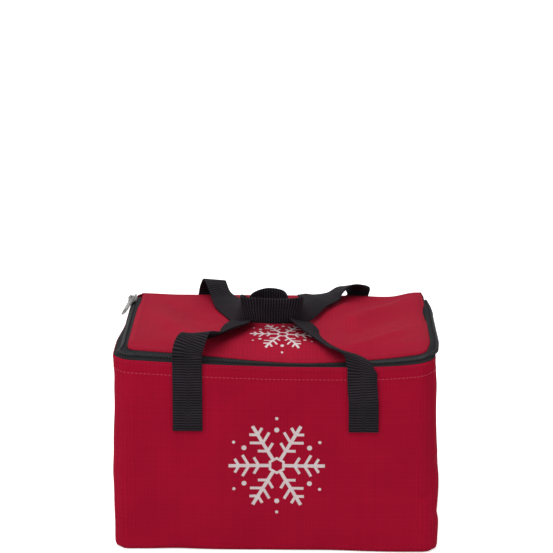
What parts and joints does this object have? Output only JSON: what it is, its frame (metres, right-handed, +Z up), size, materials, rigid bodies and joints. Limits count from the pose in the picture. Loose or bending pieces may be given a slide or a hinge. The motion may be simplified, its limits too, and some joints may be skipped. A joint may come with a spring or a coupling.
{
  "type": "insulated lunch bag",
  "caption": "Soft box-shaped insulated lunch bag: padded foil-lined walls, a lid zipped on its front and sides, and webbing carry handles that fold across the lid.",
  "frame": {"origin": "on the floor under the middle of the bag", "axes": "+X to the right across the width, +Y from the front to the back, +Z up"},
  "size_m": [0.2801, 0.1626, 0.2147],
  "materials": {
    "shell_cloth": "matt woven polyester",
    "foam": "matt closed-cell foam",
    "foil_lining": "crinkled silver laminate",
    "binding": "matt woven tape",
    "zip_tape": "matt woven tape",
    "zip_teeth": "satin moulded",
    "webbing": "matt ribbed webbing",
    "zip_metal": "satin die-cast"
  },
  "bodies": {
    "tub": {"front_panel": "shell_cloth", "left_panel": "shell_cloth", "right_panel": "shell_cloth", "back_panel": "shell_cloth", "base_panel": "shell_cloth", "front_foam": "foam", "left_foam": "foam", "right_foam": "foam", "back_foam": "foam", "base_foam": "foam", "front_lining": "foil_lining", "left_lining": "foil_lining", "right_lining": "foil_lining", "back_lining": "foil_lining", "base_lining": "foil_lining", "rim_binding": "binding", "zip_tape_lower": "zip_tape", "zip_teeth_lower": "zip_teeth", "front_handle_end_left": "webbing", "front_handle_end_right": "webbing", "rear_handle_end_left": "webbing", "rear_handle_end_right": "webbing"},
    "lid": {"lid_panel": "shell_cloth", "lid_foam": "foam", "lid_lining": "foil_lining", "lid_binding": "binding", "zip_tape_upper": "zip_tape", "zip_teeth_upper": "zip_teeth"},
    "front_handle": {"front_handle_loop": "webbing"},
    "rear_handle": {"rear_handle_loop": "webbing"},
    "zip_slider": {"zip_slider": "zip_metal"},
    "zip_pull": {"zip_pull": "zip_metal"}
  },
  "joints": [
    {"name": "lid_open", "type": "hinge", "parent": "tub", "child": "lid", "pos_m": [0, 0.0781, 0.17636], "axis": [-1, 0, 0], "range_deg": [0, 105], "deforming": ["front_handle_loop", "rear_handle_loop"]},
    {"name": "front_handle_swing", "type": "hinge", "parent": "tub", "child": "front_handle", "pos_m": [0, -0.0781, 0.17636], "axis": [1, 0, 0], "range_deg": [0, 180], "deforming": ["front_handle_loop"]},
    {"name": "rear_handle_swing", "type": "hinge", "parent": "lid", "child": "rear_handle", "pos_m": [0, 0.0781, 0.17636], "axis": [-1, 0, 0], "range_deg": [0, 80], "deforming": ["rear_handle_loop"]},
    {"name": "zip_slide", "type": "slide", "parent": "tub", "child": "zip_slider", "axis": [0, -1, 0], "range_m": [0, 0.11], "deforming": ["zip_teeth_lower", "zip_teeth_upper"]},
    {"name": "pull_swing", "type": "hinge", "parent": "zip_slider", "child": "zip_pull", "pos_m": [-0.13386, 0.0672, 0.17986], "axis": [-0.7071, 0, -0.7071], "range_deg": [0, 170]}
  ]
}
